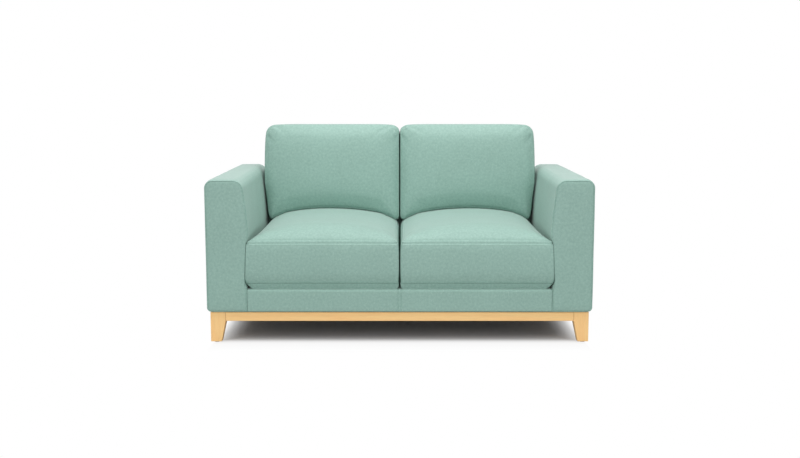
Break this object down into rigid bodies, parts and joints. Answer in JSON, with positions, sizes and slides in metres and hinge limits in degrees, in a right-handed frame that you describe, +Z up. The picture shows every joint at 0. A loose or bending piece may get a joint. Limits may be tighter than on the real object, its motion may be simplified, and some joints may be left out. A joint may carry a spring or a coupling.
{
  "type": "two-seat sofa",
  "caption": "Low-armed two-seat sofa with loose crowned seat and back cushions, padded box arms and a wooden plinth on tapered legs.",
  "frame": {"origin": "on the floor, below the middle of the sofa's box", "axes": "+X along the sofa's width, -Y to the front where a person sits down, +Z up"},
  "size_m": [1.6, 0.9, 0.8758],
  "materials": {
    "cover": "matte",
    "show_wood": "satin",
    "frame_timber": "matte",
    "panel_board": "matte",
    "foam": "matte",
    "webbing": "matte",
    "dust_cloth": "matte",
    "bolt_steel": "satin",
    "glide_plastic": "matte"
  },
  "bodies": {
    "sofa": {"front_left_leg": "show_wood", "front_right_leg": "show_wood", "rear_left_leg": "show_wood", "rear_right_leg": "show_wood", "foot_glides": "glide_plastic", "front_plinth_rail": "show_wood", "rear_plinth_rail": "show_wood", "left_plinth_rail": "show_wood", "right_plinth_rail": "show_wood", "plinth_corner_blocks": "frame_timber", "base_bolts": "bolt_steel", "dust_cover": "dust_cloth", "front_seat_rail": "frame_timber", "rear_seat_rail": "frame_timber", "left_seat_rail": "frame_timber", "right_seat_rail": "frame_timber", "centre_seat_rail": "frame_timber", "seat_corner_blocks": "frame_timber", "seat_webbing_long": "webbing", "seat_webbing_cross": "webbing", "arm_bolts": "bolt_steel", "front_rail_pad": "foam", "front_rail_cover": "cover", "deck_pad": "foam", "deck_cloth": "cover", "left_arm_posts": "frame_timber", "left_arm_top_rail": "frame_timber", "left_arm_sill": "frame_timber", "left_arm_ledger": "frame_timber", "left_arm_outer_panel": "panel_board", "left_arm_inner_panel": "panel_board", "left_arm_foam": "foam", "left_arm_cover": "cover", "left_arm_facing": "cover", "right_arm_posts": "frame_timber", "right_arm_top_rail": "frame_timber", "right_arm_sill": "frame_timber", "right_arm_ledger": "frame_timber", "right_arm_outer_panel": "panel_board", "right_arm_inner_panel": "panel_board", "right_arm_foam": "foam", "right_arm_cover": "cover", "right_arm_facing": "cover", "back_uprights": "frame_timber", "back_top_rail": "frame_timber", "back_bottom_rails": "frame_timber", "back_webbing": "webbing", "inner_back_pad": "foam", "inner_back_cover": "cover", "outer_back_board": "panel_board", "outer_back_cover": "cover"},
    "left_seat_cushion": {"left_seat_cushion_cover": "cover", "left_seat_cushion_core": "foam"},
    "right_seat_cushion": {"right_seat_cushion_cover": "cover", "right_seat_cushion_core": "foam"},
    "left_back_cushion": {"left_back_cushion_cover": "cover", "left_back_cushion_core": "foam"},
    "right_back_cushion": {"right_back_cushion_cover": "cover", "right_back_cushion_core": "foam"}
  },
  "joints": [
    {"name": "left_seat_cushion_pull", "type": "slide", "parent": "sofa", "child": "left_seat_cushion", "axis": [0, -1, 0], "range_m": [0, 0.3]},
    {"name": "right_seat_cushion_pull", "type": "slide", "parent": "sofa", "child": "right_seat_cushion", "axis": [0, -1, 0], "range_m": [0, 0.3]},
    {"name": "left_back_cushion_lift", "type": "slide", "parent": "sofa", "child": "left_back_cushion", "axis": [0, 0, 1], "range_m": [0, 0.25]},
    {"name": "right_back_cushion_lift", "type": "slide", "parent": "sofa", "child": "right_back_cushion", "axis": [0, 0, 1], "range_m": [0, 0.25]}
  ]
}
